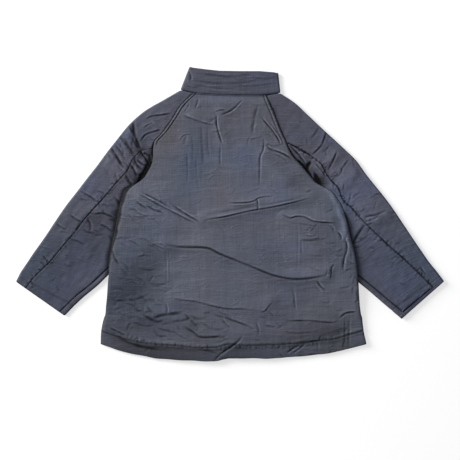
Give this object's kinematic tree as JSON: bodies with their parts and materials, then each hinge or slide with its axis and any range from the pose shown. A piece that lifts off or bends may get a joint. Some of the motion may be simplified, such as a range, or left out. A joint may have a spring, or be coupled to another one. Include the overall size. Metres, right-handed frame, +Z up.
{
  "type": "padded raglan jacket",
  "caption": "Lightly padded jacket with raglan sleeves and a stand collar, laid out flat on its front with its back showing.",
  "frame": {"origin": "middle of the coat's outline, on the surface it lies on", "axes": "+X across the coat towards the wearer's right sleeve, +Y up the back towards the collar, +Z up off the surface, out of the back"},
  "size_m": [1.1132, 0.7664, 0.0235],
  "materials": {
    "back": "fine woven cloth with a soft satin sheen",
    "front_left": "fine woven cloth with a soft satin sheen",
    "front_right": "fine woven cloth with a soft satin sheen",
    "over_sleeve_left": "fine woven cloth with a soft satin sheen",
    "under_sleeve_left": "fine woven cloth with a soft satin sheen",
    "over_sleeve_right": "fine woven cloth with a soft satin sheen",
    "under_sleeve_right": "fine woven cloth with a soft satin sheen",
    "collar": "fine woven cloth with a soft satin sheen"
  },
  "bodies": {
    "root": {"back": "back", "front_left": "front_left", "front_right": "front_right", "over_sleeve_left": "over_sleeve_left", "under_sleeve_left": "under_sleeve_left", "over_sleeve_right": "over_sleeve_right", "under_sleeve_right": "under_sleeve_right", "collar": "collar"}
  },
  "joints": []
}
